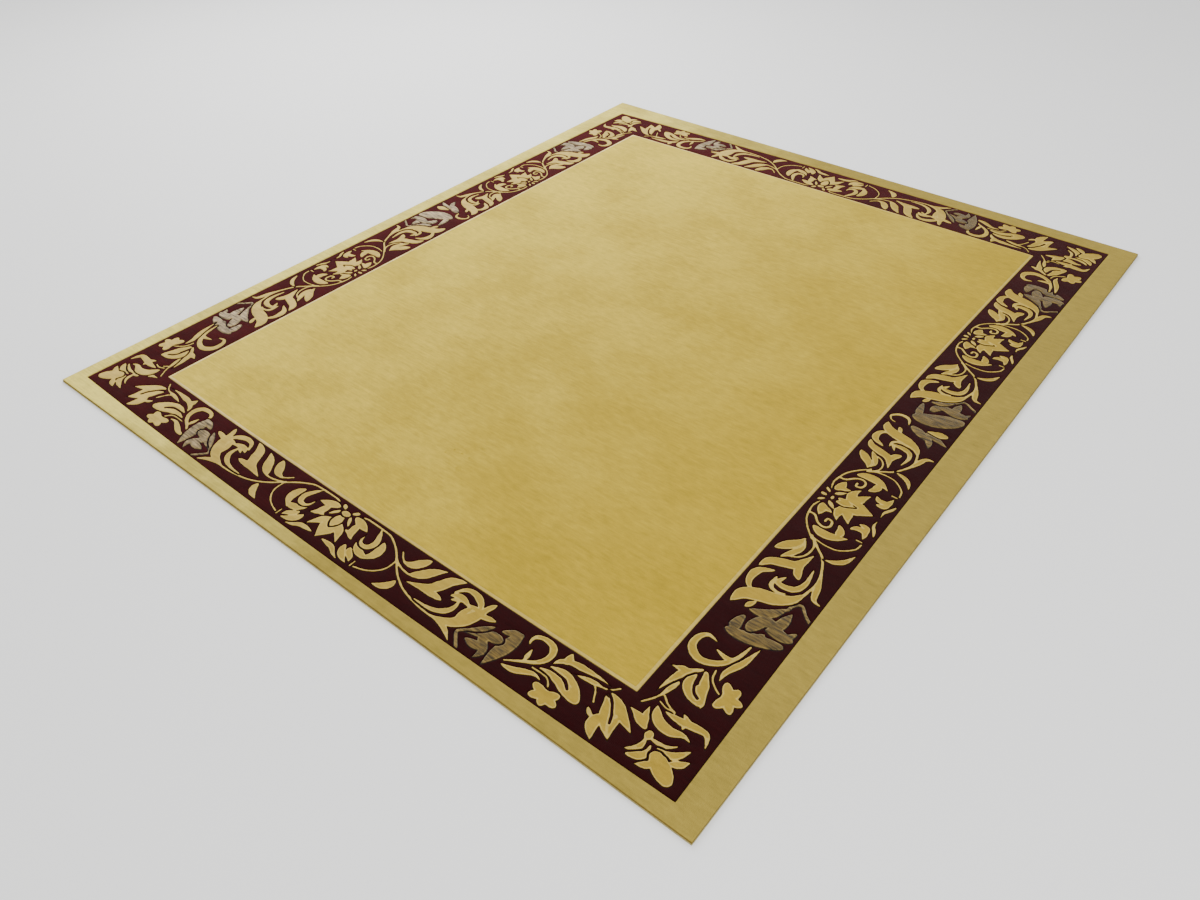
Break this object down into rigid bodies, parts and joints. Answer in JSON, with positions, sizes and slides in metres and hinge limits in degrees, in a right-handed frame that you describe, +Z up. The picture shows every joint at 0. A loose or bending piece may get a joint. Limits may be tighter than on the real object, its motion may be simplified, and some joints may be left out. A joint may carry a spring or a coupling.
{
  "type": "hand-knotted wool rug",
  "caption": "Flat rectangular wool rug with a plain gold field and a dark maroon border of sheared leaf scrolls, lotus motifs and star flowers.",
  "frame": {"origin": "under the middle of the rug, on the surface that it lies on", "axes": "+X across the width, +Y along the length, +Z up out of the pile"},
  "size_m": [2.042, 2.79, 0.01],
  "materials": {
    "gold_wool": "short sheared wool pile in olive gold, matte with a soft sheen",
    "maroon_wool": "short sheared wool pile in dark maroon, matte",
    "cream_wool": "short sheared wool pile in pale cream gold, matte",
    "olive_silk": "short silk pile in grey olive, with a bright directional lustre",
    "knotted_back": "ribbed knot backs and cotton foundation, matte"
  },
  "bodies": {
    "root": {"knotted_rug": "gold_wool"}
  },
  "joints": []
}
